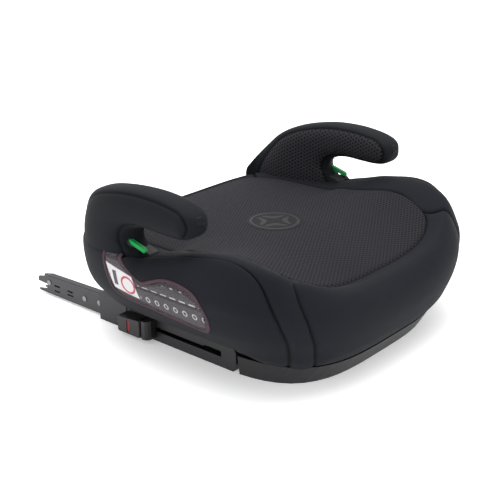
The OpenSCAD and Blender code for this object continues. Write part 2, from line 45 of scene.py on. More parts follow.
class Value:
    """A number that varies over a surface: a node's output, with arithmetic as Math nodes."""

    def __init__(self, socket):
        self.socket = socket

    def math(self, operation, *others, clamp=False):
        tree = self.socket.id_data
        node = tree.nodes.new("ShaderNodeMath")
        node.operation, node.use_clamp = operation, clamp
        for place, given in zip(node.inputs, (self, *others)):
            join(tree, place, given)
        return Value(node.outputs[0])

    def __add__(self, other): return self.math("ADD", other)
    def __sub__(self, other): return self.math("SUBTRACT", other)
    def __mul__(self, other): return self.math("MULTIPLY", other)
    def __truediv__(self, other): return self.math("DIVIDE", other)
    def __pow__(self, other): return self.math("POWER", other)
    def __rsub__(self, other): return self * -1 + other
    __radd__, __rmul__ = __add__, __mul__

    def sin(self): return self.math("SINE")
    def cos(self): return self.math("COSINE")
    def size(self): return self.math("ABSOLUTE")
    def most(self, other): return self.math("MAXIMUM", other)

    def rise(self, low, high):
        """0 below low, 1 above high, and a straight ramp between them."""
        return ((self - low) * (1 / (high - low))).math("ADD", 0, clamp=True)


def join(tree, place, given):
    """Links a node's input to a Value, or sets it to a plain number, colour or vector."""
    if isinstance(given, Value):
        tree.links.new(given.socket, place)
    else:
        place.default_value = given


def paint(red, green, blue):
    """A colour from its 8-bit display values, as linear light."""
    channels = np.array([red, green, blue]) / 255
    linear = np.where(channels < 0.04045, channels / 12.92, ((channels + 0.055) / 1.055) ** 2.4)
    return (*linear.tolist(), 1)


class Finish:
    """A material: constants on its shader's own sockets, and nodes for what varies."""

    def __init__(self, name, **constants):
        self.material = bpy.data.materials.new(name)
        self.material.use_nodes = True
        self.tree = self.material.node_tree
        self.shader = self.tree.nodes["Principled BSDF"]
        for key, number in constants.items():
            self.shader.inputs[key.replace("_", " ")].default_value = number

    def node(self, kind, settings=(), output=0, **sockets):
        """A node of that type. Settings come first, then its sockets by name or as i0, i1."""
        made = self.tree.nodes.new(kind)
        for key, setting in dict(settings).items():
            setattr(made, key, setting)
        for key, given in sockets.items():
            place = int(key[1:]) if key[0] == "i" and key[1:].isdigit() else key.replace("_", " ")
            join(self.tree, made.inputs[place], given)
        return Value(made.outputs[output])

    def place(self):
        """The object coordinates x, y and z, in metres."""
        split = self.tree.nodes.new("ShaderNodeSeparateXYZ")
        self.tree.links.new(self.spot().socket, split.inputs[0])
        return [Value(output) for output in split.outputs]

    def spot(self):
        return self.node("ShaderNodeTexCoord", output="Object")

    def noise(self, scale, detail=2.0, vector=None):
        return self.node("ShaderNodeTexNoise", Vector=vector or self.spot(), Scale=scale, Detail=detail)

    def mix(self, share, first, second):
        """A colour between two colours; share is 0 for the first and 1 for the second."""
        return self.node("ShaderNodeMix", {"data_type": "RGBA"}, output=2, i0=share, i6=first, i7=second)

    def set(self, name, given):
        join(self.tree, self.shader.inputs[name], given)
        return self

    def bump(self, height, depth, strength=1.0):
        """Relief from a height of 0 to 1 that is that deep, in metres."""
        self.set("Normal", self.node("ShaderNodeBump", Height=height, Strength=strength, Distance=depth))
        return self

    def on(self, *objects, slot=None):
        for item in objects:
            item.data.materials.clear()
            item.data.materials.append(self.material)
        return self


def moulded(name, low, high, gloss, grain=2600):
    """Moulded plastic: a fine eroded grain, and faint cloudy changes of colour and gloss."""
    finish = Finish(name, Specular_IOR_Level=0.45)
    cloud = finish.noise(14, 3)
    grains = finish.noise(grain, 1)
    finish.set("Base Color", finish.mix(cloud.rise(0.3, 0.7), paint(*low), paint(*high)))
    finish.set("Roughness", gloss + (cloud - 0.5) * 0.12 + (grains - 0.5) * 0.15)
    return finish.bump(grains, 0.00012)


def nodes(*names):
    return [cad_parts[name] for name in names]


def sides(name):
    return nodes(name + "_right", name + "_left")


moulded("base plastic", (22, 21, 25), (27, 26, 30), 0.5).on(*nodes("base_tray"), slot="base_plastic")
moulded("rail plastic", (27, 26, 30), (33, 32, 36), 0.46).on(*sides("rail_housing"), slot="base_plastic")
moulded("shell plastic", (22, 22, 25), (27, 27, 30), 0.55).on(
    *nodes("seat_shell"), *sides("armrest_frame"), slot="shell_plastic")

# ------------------------------------------------------------------ connector arms
# Each arm is two stamped steel plates with black powder coat, riveted over a guide block. The
# rivets, the jaw and the springs are zinc-plated and stay bright.


def coated_steel(name, low, high):
    """Powder-coated sheet: orange-peel relief and slightly worn, lighter patches."""
    finish = Finish(name, Specular_IOR_Level=0.5)
    peel, cloud = finish.noise(900, 2), finish.noise(26, 4)
    finish.set("Base Color", finish.mix(cloud.rise(0.35, 0.75), paint(*low), paint(*high)))
    finish.set("Roughness", 0.42 + (cloud - 0.5) * 0.2)
    return finish.bump(peel, 0.00009)


def plated_steel(name, colour, gloss):
    """Zinc-plated steel: metal with fine brush marks and dull cloudy spots."""
    finish = Finish(name, Metallic=1.0)
    x, y, z = finish.place()
    stretched = finish.node("ShaderNodeCombineXYZ", i0=x * 9, i1=y, i2=z * 9)
    marks, cloud = finish.noise(220, 3, stretched), finish.noise(90, 3)
    finish.set("Base Color", finish.mix(cloud, paint(*[c * 0.82 for c in colour]), paint(*colour)))
    finish.set("Roughness", gloss + (cloud - 0.5) * 0.18)
    return finish.bump(marks, 0.00003)


coated_steel("arm steel", (31, 30, 35), (38, 37, 42)).on(
    *sides("outer_plate"), *sides("inner_plate"), *nodes("cross_brace"), slot="painted_steel")
plated_steel("rivet steel", (140, 141, 146), 0.34).on(*sides("arm_rivets"), slot="rivet_steel")
plated_steel("jaw steel", (150, 151, 156), 0.38).on(
    *sides("latch_jaw"), *sides("pull_rod"), slot="jaw_steel")
plated_steel("spring steel", (190, 191, 195), 0.3).on(
    *sides("jaw_spring"), *sides("release_spring"), slot="spring_steel")
plated_steel("screw steel", (175, 176, 180), 0.34).on(
    *nodes("base_screws"), *sides("rail_screws"), slot="screw_steel")

# ------------------------------------------------------------------ grips
# The grip, its slider and the carriage are moulded in black acetal with a smoother gloss. A red
# flag fills the grip's window while the jaw is open, and a strip of it stays when it closes.

moulded("grip plastic", (17, 17, 19), (23, 23, 25), 0.36).on(
    *sides("carriage"), *sides("grip"), *sides("release_slider"), slot="grip_plastic")
moulded("red plastic", (196, 26, 38), (214, 38, 48), 0.4).on(*sides("indicator"), slot="indicator_plastic")

# ------------------------------------------------------------------ belt guides
# Each lap-belt guide is a moulded web that stands in the gap below the armrest, with a narrow
# lip overmoulded in bright green. The lip leads the belt down past the armrest's foot. The web's
# near-black colour, darker than the other black plastics, is painted shade for the shadowed gap.


def quads(index):
    """The quads between neighbouring rows and columns of an array of point numbers."""
    return np.stack([index[:-1, :-1], index[:-1, 1:], index[1:, 1:], index[1:, :-1]], -1).reshape(-1, 4)


def new_piece(name, points, faces, smooth=True):
    """A mesh object from points in millimetres."""
    mesh = bpy.data.meshes.new(name)
    mesh.from_pydata((np.asarray(points).reshape(-1, 3) / 1000).tolist(), [], [list(f) for f in faces])
    if smooth:
        mesh.polygons.foreach_set("use_smooth", [True] * len(mesh.polygons))
    mesh.update()
    made = bpy.data.objects.new(name, mesh)
    bpy.context.collection.objects.link(made)
    return made


def prism(name, outline, ends, bevel):
    """A bar along x between two ends, with a side outline in y and z. Its ends are drawn in by
    the bevel: each outline point moves to centre + (point - centre) * (1 - bevel / distance)."""
    x0, x1 = sorted(ends)
    outline = np.asarray(outline, float)
    centre = outline.mean(0)
    arm = outline - centre
    drawn = centre + arm * (1 - bevel / np.linalg.norm(arm, axis=1, keepdims=True))
    rings = [(x0, drawn), (x0 + bevel, outline), (x1 - bevel, outline), (x1, drawn)]
    points = np.stack([np.column_stack([np.full(len(o), x), o]) for x, o in rings])
    index = np.arange(4 * len(outline)).reshape(4, -1)
    faces = quads(np.concatenate([index, index[:, :1]], 1))[:, ::-1].tolist()
    return new_piece(name, points, faces + [index[0].tolist(), index[-1, ::-1].tolist()], smooth=False)


green_finish = moulded("guide green", (0, 150, 70), (8, 178, 86), 0.36)
# painted shade: the web gets this very dark colour to stand for the shade in the gap below the armrest
chute_shade_finish = moulded("guide shade black", (9, 9, 10), (13, 13, 14), 0.55)
lip_outline = [(48, 133), (49.5, 130.8), (80, 138.8), (82, 141), (80, 143.8), (50, 135.6)]
web_outline = [(44, 119), (58, 119), (72, 131), (72, 135), (48, 128)]
web_inner, lip_inner, lip_outer = 171, 187, 192
for hand, sign in (("left", 1), ("right", -1)):
    lip = prism("belt_lip_" + hand, lip_outline, (sign * lip_inner, sign * lip_outer), bevel=0.7)
    web = prism("belt_chute_" + hand, web_outline, (sign * web_inner, sign * (lip_inner - 0.8)), bevel=0.6)
    green_finish.on(lip, slot="guide_plastic")
    chute_shade_finish.on(web, slot="shell_plastic")
    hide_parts("belt_guide_" + hand)
    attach(lip, "root")
    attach(web, "root")

# ------------------------------------------------------------------ seat cushion
# The cushion is foam under a charcoal spacer mesh, an open honeycomb knit. It is a rounded
# panel that dips in the middle, rises to the rear and is sewn all round into the cover.

half_width, rear_reach, pad_thick = 206, 190, 12
rim_z, middle_z = 101, 121.5


def wall(t, width, front, rear, sharp_front, sharp_rear):
    """Distance in the direction t to a superellipse: (|cos t / width|^n + |sin t / depth|^n)^(-1/n)."""
    ahead = np.sin(t) < 0
    n, depth = np.where(ahead, sharp_front, sharp_rear), np.where(ahead, front, rear)
    return ((np.abs(np.cos(t)) / width) ** n + (np.abs(np.sin(t)) / depth) ** n) ** (-1 / n)


def ease(v, low, high):
    """0 below low and 1 above high, with the smooth curve 3s^2 - 2s^3 between them."""
    s = np.clip((v - low) / (high - low), 0, 1)
    return s * s * (3 - 2 * s)


def blend(a, b, share):
    return a + (b - a) * share


def seat_height(x, y):
    """Height of the cushion: along its middle one parabola falls to the front edge and a flatter
    one to the rear, blended to the side edge's own height with the cube of the distance out."""
    middle = blend(middle_z, rim_z, (np.maximum(0, -y - 12) / 119) ** 2)
    middle = middle - 3.5 * (np.maximum(y, 0) / rear_reach) ** 2
    side = 121.5 + 6.5 * (1 - ease(y, 20, 50)) + 13 * np.exp(-(((y + 55) / 50) ** 2))
    return blend(middle, side, np.minimum(1, np.abs(x) / 148) ** 3)


def seat_point(t, share):
    """A point of the cushion: a share of the way from its middle to its edge, in direction t."""
    r = share * wall(t, 149, 131, rear_reach - 9, 5, 6)
    x, y = r * np.cos(t), r * np.sin(t)
    return np.stack([x, y, seat_height(x, y)], -1)


def outward(points, wrap=False):
    """Unit normals of a grid: the cross product of its column and row differences, averaged with
    their neighbours' so that a squeezed corner takes its normal from the cells around it."""
    if wrap:
        around = (np.roll(points, -1, 1) - np.roll(points, 1, 1)) / 2
    else:
        around = np.gradient(points, axis=1)
    normal = np.cross(around, np.gradient(points, axis=0))
    for _ in range(4):
        near = np.pad(normal, ((1, 1), (0, 0), (0, 0)), "edge")
        near = np.pad(near, ((0, 0), (1, 1), (0, 0)), "wrap" if wrap else "edge")
        normal = (2 * normal + near[:-2, 1:-1] + near[2:, 1:-1] + near[1:-1, :-2] + near[1:-1, 2:]) / 6
    return normal / np.maximum(np.linalg.norm(normal, axis=-1, keepdims=True), 1e-9)


def arc(points, axis):
    """Distance along a grid's lines from their start."""
    step = np.linalg.norm(np.diff(points, axis=axis), axis=-1)
    return np.concatenate([np.zeros_like(np.take(step, [0], axis)), np.cumsum(step, axis)], axis)


def edge_distance(points, edges="udlr"):
    """Distance to the nearest of a grid's edges: its last row, first row, first or last column."""
    up, along = arc(points, 0), arc(points, 1)
    choices = {"d": up, "u": up[-1:] - up, "l": along, "r": along[:, -1:] - along}
    return np.min([choices[edge] for edge in edges], axis=0)


def spaced(count, length, seams=True):
    """Shares from 0 to 1 in even steps, with four close lines beside each seam."""
    shares = np.linspace(0, 1, count)
    if seams:
        near = np.array([0.9, 1.9, 3.2, 5]) / length
        inner = shares[(shares > 6.5 / length) & (shares < 1 - 6.5 / length)]
        shares = np.concatenate([[0], near, inner, 1 - near[::-1], [1]])
    return shares


def padded_solid(name, outer, inner):
    """A closed solid between two grids of the same rows and columns, joined along their edges."""
    rows, columns = outer.shape[:2]
    index = np.arange(rows * columns).reshape(rows, columns)
    rim = np.concatenate([index[0], index[1:, -1], index[-1, -2::-1], index[-2::-1, 0]])
    far = rim + rows * columns
    walls = np.stack([rim[1:], rim[:-1], far[:-1], far[1:]], -1)
    faces = np.concatenate([quads(index), quads(index)[:, ::-1] + rows * columns, walls])
    return new_piece(name, np.concatenate([outer.reshape(-1, 3), inner.reshape(-1, 3)]), faces.tolist())


def mirrored(points):
    """A grid's mirror image across the middle plane, still facing outwards."""
    return points[:, ::-1] * (-1, 1, 1)


def sewn(points, thick, puff=1.8, dip=2.6, edges="udlr"):
    """Outer and inner grid of a padded panel: it swells by puff between its seams, and at a seam
    it turns in by dip within about two millimetres."""
    normal, distance = outward(points), edge_distance(points, edges)
    lift = puff * (1 - np.exp(-((distance / 14) ** 2))) - dip * np.exp(-((distance / 2.4) ** 2))
    return points + normal * lift[..., None], points - normal * thick


def honeycomb(finish, first, second, pitch):
    """Spacer mesh: round holes on a hexagonal lattice, from three sine waves 60 degrees apart.
    1 on a thread and 0 in a hole."""
    k = 2 * math.pi / pitch * 1000
    waves = [(first * math.cos(a) + second * math.sin(a)) * k for a in np.radians([0, 60, 120])]
    total = waves[0].cos() + waves[1].cos() + waves[2].cos()
    return 1 - ((total + 1.5) / 4.5).rise(0.3, 0.85)


def spacer_mesh(name, first, second, pitch=3.8):
    """Charcoal spacer mesh over two of the axes."""
    finish = Finish(name, Specular_IOR_Level=0.1, Sheen_Weight=0.02, Sheen_Roughness=0.4)
    axes = finish.place()
    thread = honeycomb(finish, axes[first], axes[second], pitch)
    fuzz, cloud = finish.noise(1500, 2), finish.noise(9, 2)
    dark = finish.mix(cloud, paint(4, 4, 5), paint(7, 7, 8))
    light = finish.mix(cloud, paint(37, 36, 41), paint(43, 42, 47))
    finish.set("Base Color", finish.mix(thread, dark, light))
    finish.set("Roughness", 0.8 + (fuzz - 0.5) * 0.2)
    return finish.bump(thread * 0.85 + fuzz * 0.15, 0.0006)


lines = spaced(count=97, length=300) * 2 - 1
across, along = np.meshgrid(lines, lines)
share = np.maximum(np.abs(across), np.abs(along))
direction = np.arctan2(along * np.where(along < 0, 131, rear_reach - 9), across * 149)
cushion_top = seat_point(direction, share)
distance = edge_distance(cushion_top)
cushion_top[..., 2] += 2.0 * (1 - np.exp(-((distance / 22) ** 2))) - 2.2 * np.exp(-((distance / 2.1) ** 2))
cushion_under = seat_point(direction, share * 0.985) - (0, 0, pad_thick)
cushion = padded_solid("seat_cushion", cushion_top, cushion_under)
spacer_mesh("seat mesh", 0, 1).on(cushion, slot="mesh_fabric")
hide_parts("seat_pad")
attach(cushion, "root")

# A round patch of the same knit is welded onto the middle of the cushion, with raised rings
# and a plain leaf cross in a lighter grey.

patch_centre, patch_radius = (0, 20), 34.5


def patch_height(x, y):
    """Height of the cushion's top at x and y, including its swelling."""
    return seat_height(x, y) + 2.0


rays, ring_radius = 96, 29
radius = np.concatenate(
    [[0.0], np.linspace(1.5, patch_radius - 1.2, 26), [patch_radius - 0.5, patch_radius]])
turn = np.linspace(0, 2 * np.pi, rays + 1)[:-1]
patch_x = patch_centre[0] + radius[:, None] * np.cos(turn)
patch_y = patch_centre[1] + radius[:, None] * np.sin(turn)
lift = np.minimum(0.7, 1.1 * np.sqrt(np.maximum(0, patch_radius - radius)))[:, None] - 0.25
lift = lift + 0.35 * np.exp(-(((radius[:, None] - ring_radius) / 1.3) ** 2)) + 0 * turn
patch_points = np.stack([patch_x, patch_y, patch_height(patch_x, patch_y) + lift], -1)[::-1]
patch_index = np.arange(len(radius) * rays).reshape(len(radius), rays)
patch_index = np.concatenate([patch_index, patch_index[:, :1]], 1)
patch_under = patch_points[:1] - (0, 0, 1.5)
patch_faces = quads(patch_index[:-1]).tolist()
middle = patch_index[-1, 0]
patch_faces += [[a, b, middle] for a, b in zip(patch_index[-2, :-1], patch_index[-2, 1:])]
below = len(radius) * rays + np.arange(rays + 1) % rays
patch_faces += [[b, a, c, d] for a, b, c, d in
                zip(patch_index[0, :-1], patch_index[0, 1:], below[:-1], below[1:])]
patch_faces += [below[:-1][::-1].tolist()]
patch_all = np.concatenate([patch_points.reshape(-1, 3), patch_under.reshape(-1, 3)])
patch = new_piece("round_patch", patch_all, patch_faces)

weld = Finish("welded patch", Specular_IOR_Level=0.15, Sheen_Weight=0.02)
x, y, z = weld.place()
x, y = x * 1000, y * 1000 - patch_centre[1]
away = (x * x + y * y) ** 0.5
ring = 1 - (away - ring_radius).size().rise(1.4, 2.2)
leaf = (x.size() * y.size()) ** 0.5
cross = (1 - (leaf - 9).size().rise(2.0, 2.8)) * (1 - away.rise(22, 23))
marks = ring.most(cross)
grain = weld.noise(1400, 2)
weld.set("Base Color", weld.mix(marks, paint(14, 14, 17), paint(40, 39, 43)))
weld.set("Roughness", 0.62 - marks * 0.12 + (grain - 0.5) * 0.15)
weld.bump(marks * 0.8 + grain * 0.2, 0.0006).on(patch, slot="knit_fabric")
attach(patch, "root")

# ------------------------------------------------------------------ side, front and rear covers
# The cover is a stretchy near-black jersey, laminated on thin foam. A long strip runs from the
# hem up over each front corner and back along the side, between two seams; the other panels
# fill the front, the sides and the rear, and the hem is tucked over the base.

foam = 5


def ring_points(k, t, armrest):
    """Ring k of the cover in the direction t, from the hem (0) over the rim (6) to the cushion's
    edge (7). Where an armrest stands, the wall goes straight up to its foot instead."""
    front, rear = np.maximum(0, -np.sin(t)) ** 4, np.maximum(0, np.sin(t)) ** 4
    w, r = half_width, rear_reach
    from_side = np.degrees(np.arcsin(np.sin(t)))
    tuck = ease(from_side, -32, -18) * (1 - ease(from_side, 40, 60))
    sizes = {
        0: (157, 155, r - 13, 3.6, 5, 24 + 11 * tuck),
        1: (w - 38, 161, r - 9, 3.5, 4.9, 34 + 6 * tuck),
        2: (w - 29, 166, r - 6, 3.4, 4.7, 45 + 4 * tuck),
        3: (w - 11, 171, r - 2, 3.4, 4.7, blend(70, 64, front)),
        4: (w - 2, 169, r, 3.6, 4.7, blend(blend(94, 81, front), 92, rear)),
        5: (w, 161, r, 3.7, 4.7, blend(blend(114, 92, front), 108, rear)),
        6: (w - 16, 149, r - 3, 3.8, 4.7, None),
    }
    if k >= 7:
        return seat_point(t, (10 - k) / 3)
    *outline, z = sizes[k]
    reach = wall(t, *outline)
    if z is None:
        z = seat_point(t, 1)[..., 2] + blend(blend(8, -1, front), 0, ease(from_side, -5, 12))
    points = np.stack([reach * np.cos(t), reach * np.sin(t), z + 0 * t], -1)
    if armrest and k == 5:
        y = wall(t, w, 161, r, 3.7, 4.7) * np.sin(t)
        straight = np.stack([foot_x(y), y, np.full_like(y, 123.3)], -1)
        points = blend(points, straight, (ease(y, 48, 62) * (1 - ease(y, 172, 181)))[..., None])
    return points


def foot_x(y):
    """Distance from the middle to the outer face of an armrest's foot."""
    return 206.6 * (1 - np.clip(y / rear_reach, 0, 0.97) ** 4.6) ** (1 / 4.6)


def cover(u, t, armrest=False):
    """A point of the cover at the ring number u, between whole rings on a Catmull-Rom curve."""
    t = np.radians(t)
    rings = np.stack([ring_points(k, t, armrest) for k in range(11)])
    low = np.clip(np.floor(u).astype(int), 0, 9)
    f = (u - low)[..., None]

    def pick(k):
        return np.take_along_axis(rings, np.clip(k, 0, 10)[None, ..., None], 0)[0]

    a, b, c, d = (pick(low + step) for step in (-1, 0, 1, 2))
    return 0.5 * (2 * b + (c - a) * f + (2 * a - 5 * b + 4 * c - d) * f**2 + (3 * b - a - 3 * c + d) * f**3)


def smooth_line(stops, shares):
    """A Catmull-Rom curve through stops, at shares from 0 to 1 of their number."""
    stops = np.asarray(stops, float)
    at = np.asarray(shares) * (len(stops) - 1)
    low = np.clip(np.floor(at).astype(int), 0, len(stops) - 2)
    f = (at - low)[..., None]
    a, b, c, d = (stops[np.clip(low + step, 0, len(stops) - 1)] for step in (-1, 0, 1, 2))
    return 0.5 * (2 * b + (c - a) * f + (2 * a - 5 * b + 4 * c - d) * f**2 + (3 * b - a - 3 * c + d) * f**3)


# The two seams of the strip, as directions in degrees and ring numbers, from the hem upwards
outer_seam = [(-39, 0), (-39, 2.4), (-36.4, 3.9), (-33.2, 5.2), (-28.5, 5.8), (-20, 6.02), (-6, 5.95),
              (16, 6), (50, 6)]
inner_seam = [(-48, 0), (-47, 2.3), (-45.3, 3.4), (-43, 4.6), (-40.4, 5.8), (-37.4, 7), (-20, 7),
              (10, 7), (50, 7)]
corner = 4 / 8

fine = np.linspace(0, 1, 400)
outer_line, inner_line = smooth_line(outer_seam, fine), smooth_line(inner_seam, fine)

b, a = np.meshgrid(spaced(70, 330), spaced(9, 30), indexing="xy")
edge_out, edge_in = smooth_line(outer_seam, b), smooth_line(inner_seam, b)
strip_at = blend(edge_out, edge_in, a[..., None])
strip = cover(strip_at[..., 1], strip_at[..., 0])

rising = outer_line[fine <= corner]
topping = outer_line[fine >= corner]
a, b = np.meshgrid(spaced(84, 330), spaced(34, 150))
start = np.interp(b, rising[:, 1] / rising[-1, 1], rising[:, 0])
level = np.interp(rising[-1, 0] + (50 - rising[-1, 0]) * a, topping[:, 0], topping[:, 1])
direction = start + (50 - start) * a
side = cover(b * blend(level, 5, ease(direction, 14, 19)), direction, armrest=True)

a, b = np.meshgrid(spaced(80, 330) * 2 - 1, spaced(34, 130))
lean = np.interp(b * 7, inner_line[fine <= 5 / 8][:, 1], -inner_line[fine <= 5 / 8][:, 0])
front = cover(b * 7, 270 + (90 - lean) * a)

a, b = np.meshgrid(spaced(72, 300), spaced(34, 120))
rear = cover(b * 7, 50 + 80 * a) - (0, 0, 3) * (b**4)[..., None]


def jersey(name, low=(21, 22, 27), high=(26, 28, 34)):
    """Near-black jersey: fine knit ribs under a soft nap, with a faint sheen, and painted shade that
    darkens it towards near-black along the seams.
    """
    finish = Finish(name, Specular_IOR_Level=0.1, Sheen_Weight=0.03, Sheen_Roughness=0.4)
    x, y, z = finish.place()
    nap, cloud = finish.noise(2200, 2), finish.noise(7, 3)
    ribs = ((x + y) * 5200).sin() * ((z + y * 0.3) * 5200).sin()
    seam = finish.node("ShaderNodeAttribute", {"attribute_name": "seam_shade_share"}, output="Fac")
    knit = finish.mix(cloud.rise(0.3, 0.7) * 0.7 + nap * 0.3, paint(*low), paint(*high))
    # painted shade: near the seams the colour is mixed towards near-black, standing for the shade in the
    # seam grooves
    finish.set("Base Color", finish.mix(seam * 0.7, knit, paint(5, 5, 6)))
    finish.set("Roughness", 0.74 + (nap - 0.5) * 0.2)
    return finish.bump(ribs * 0.2 + nap * 0.8, 0.00018)


jersey_finish = jersey("cover jersey")


def cover_piece(name, points, node, edges="udlr", puff=1.8):
    made = padded_solid(name, *sewn(points, foam, puff=puff, edges=edges))
    # painted shade along the seams: a share that is 1 at a seam and fades within about two millimetres,
    # used by the jersey's colour
    dark = np.exp(-((edge_distance(points, edges) / 1.7) ** 2)).ravel()
    share = made.data.attributes.new("seam_shade_share", "FLOAT", "POINT")
    share.data.foreach_set("value", np.concatenate([dark, dark * 0]).astype(np.float32))
    jersey_finish.on(made, slot="knit_fabric")
    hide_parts(node)
    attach(made, "root")
    return made


cover_piece("front_cover", front, "front_panel")
cover_piece("rear_cover", rear, "rear_panel", puff=1)
for hand, turned in (("left", lambda p: p), ("right", mirrored)):
    cover_piece("side_cover_" + hand, turned(side), "side_panel_" + hand, edges="dlr")
    cover_piece("corner_strip_" + hand, turned(strip), "bolster_" + hand, edges="ud", puff=2.2)

# ------------------------------------------------------------------ armrests
# Each armrest is a foam pad over a plastic frame, shaped like a fin that reaches forwards. Its
# outer face and the strip round its edge are jersey, and its inner face is spacer mesh. A cloth
# simulation fills its upper part out, and a groove then follows the seam of each face; the
# fabric is darkened in that groove as painted shade.

arm_top = 205.5
arm_line = [
    (-31.5, arm_top - 23, -31.5, arm_top - 26), (-27, arm_top - 14.5, -28, arm_top - 37),
    (-17, arm_top - 8.5, -19, arm_top - 43), (-3, arm_top - 4, -5, arm_top - 45),
    (25, arm_top - 0.4, 12, arm_top - 45), (60, arm_top - 0.8, 40, arm_top - 44.5),
    (93, arm_top - 5.5, 58, arm_top - 49), (121, arm_top - 13, 66, arm_top - 58),
    (144, arm_top - 25, 65, arm_top - 68), (163, arm_top - 44, 58, arm_top - 75),
    (178, arm_top - 64, 54, 125.5), (186, 123.3, 52, 123.3), (186, 112, 54, 112)]


def armrest_grid(rows=130, columns=64):
    """Round-cornered sections, superellipses of power 2.9, along the fin's upper and lower edge.
    Their width runs from the cover's outline to the cushion's edge, and shrinks at the tip."""
    s = smooth_line(arm_line, np.linspace(0, 1, rows) ** 1.15)[:, None]
    turn = np.radians((np.arange(columns)) * 360 / columns)[None]
    up_y, up_z, low_y, low_z = (s[..., i] for i in range(4))
    long = np.hypot(up_y - low_y, up_z - low_z)

    def boxy(v):
        return np.sign(v) * np.abs(v) ** (2 / 2.9)

    along = (1 + boxy(np.cos(turn))) / 2
    y, z = blend(low_y, up_y, along), blend(low_z, up_z, along)
    inner = 163 - 14 * ease(y, 60, 150)
    wide = np.maximum(6, foot_x(y) + 0.4 - inner) * np.clip(long / 34, 0.3, 1)
    x = (foot_x(y) + 0.4 + inner) / 2 + wide / 2 * boxy(np.sin(turn))
    throat = ease(np.linspace(0, 1, rows), 0.3, 0.5)[:, None] * ease(x, 172, 200) * (1 - along)
    return np.stack([x, y + 7 * throat, z], -1)


def face_inset(points, first, last, start, rounding=14):
    """Distance inside a face of the armrest, which lies between two columns and behind a row.
    Its corners are rounded, and it is negative outside the face."""
    across = arc(points, 1)
    side_gap = np.minimum(across - across[:, [first]], across[:, [last]] - across)
    behind = arc(points, 0)
    gap = (behind - behind[start])[:, [(first + last) // 2]] + 0 * side_gap
    return rounding - np.hypot(np.maximum(rounding - side_gap, 0), np.maximum(rounding - gap, 0))


def inflated(points, faces, loose, pressure=4.0, frames=20, furthest=2.6):
    """A closed mesh blown up like a stuffed cover by a cloth simulation without gravity. Points
    where loose is 0 are held, and each point moves at most furthest millimetres:
    p + move * min(1, furthest / |move|)."""
    made = new_piece("stuffing", points, faces)
    held = made.vertex_groups.new(name="held")
    for level in np.unique(loose):
        held.add(np.flatnonzero(loose.ravel() == level).tolist(), float(1 - level), "REPLACE")
    cloth = made.modifiers.new("cloth", "CLOTH").settings
    cloth.quality, cloth.mass, cloth.vertex_group_mass = 6, 0.25, "held"
    cloth.tension_stiffness = cloth.compression_stiffness = 18
    cloth.shear_stiffness, cloth.bending_stiffness = 8, 2
    cloth.use_pressure, cloth.uniform_pressure_force = True, pressure
    cloth.effector_weights.gravity = 0
    for number in range(1, frames + 1):
        bpy.context.scene.frame_set(number)
    blown = made.evaluated_get(bpy.context.evaluated_depsgraph_get()).data
    found = np.empty(len(blown.vertices) * 3)
    blown.vertices.foreach_get("co", found)
    move = found.reshape(points.shape) * 1000 - points
    bpy.data.objects.remove(made)
    bpy.context.scene.frame_set(1)
    far = np.linalg.norm(move, axis=-1, keepdims=True)
    return points + move * np.minimum(1, furthest / np.maximum(far, 1e-6))


armrest = armrest_grid()
index = np.arange(armrest.shape[0] * armrest.shape[1]).reshape(armrest.shape[:2])
shell = quads(np.concatenate([index, index[:, :1]], 1)).tolist()
shell += [index[0, ::-1].tolist(), index[-1].tolist()]
loose = np.round(1 - ease(np.arange(len(armrest)), 88, 112), 1)[:, None] + 0 * index
drawn = armrest - outward(armrest, wrap=True) * 0.8 * loose[..., None]
armrest = inflated(drawn, shell, loose)
outer_face = face_inset(armrest, first=8, last=24, start=17)
inner_face = face_inset(armrest, first=40, last=56, start=20)
# the groove's profile: it sets the groove's depth and also the share of painted shade in it
groove = np.exp(-((outer_face / 1.7) ** 2)) + np.exp(-((inner_face / 1.7) ** 2))
swell = ease(np.maximum(outer_face, inner_face), 0, 14)
armrest = armrest + outward(armrest, wrap=True) * (0.8 * swell - 1.5 * groove)[..., None]

arm_finish = Finish("armrest fabric", Specular_IOR_Level=0.1, Sheen_Weight=0.03, Sheen_Roughness=0.4)
x, y, z = arm_finish.place()
zone = arm_finish.node("ShaderNodeAttribute", {"attribute_name": "mesh_share"}, output="Fac").rise(0.4, 0.6)
thread = honeycomb(arm_finish, y, z, 4.2)
nap, cloud = arm_finish.noise(2200, 2), arm_finish.noise(7, 3)
knit = arm_finish.mix(cloud.rise(0.3, 0.7) * 0.7 + nap * 0.3, paint(21, 22, 26), paint(26, 28, 32))
net = arm_finish.mix(thread, paint(4, 4, 5), paint(42, 41, 46))
# painted shade: the colour is mixed towards near-black in the seam groove of each face, standing for the
# shade in it
seam = arm_finish.node("ShaderNodeAttribute", {"attribute_name": "seam_shade_share"}, output="Fac")
arm_finish.set("Base Color", arm_finish.mix(seam * 0.9, arm_finish.mix(zone, knit, net), paint(4, 4, 5)))
arm_finish.set("Roughness", 0.76 + (nap - 0.5) * 0.2)
arm_finish.bump(zone * thread * 0.9 + nap * 0.12, 0.0006)

for hand in ("left", "right"):
    points = armrest if hand == "left" else mirrored(armrest)
    inset = inner_face if hand == "left" else inner_face[:, ::-1]
    dark = groove if hand == "left" else groove[:, ::-1]
    made = new_piece("armrest_pad_" + hand, points, shell)
    share = made.data.attributes.new("mesh_share", "FLOAT", "POINT")
    share.data.foreach_set("value", ease(inset, -0.8, 0.8).ravel().astype(np.float32))
    # the groove's painted shade, stored as a share for the fabric's colour
    share = made.data.attributes.new("seam_shade_share", "FLOAT", "POINT")
    share.data.foreach_set("value", dark.ravel().astype(np.float32))
    arm_finish.on(made, slot="knit_fabric")
    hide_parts("armrest_cover_" + hand)
    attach(made, "root")

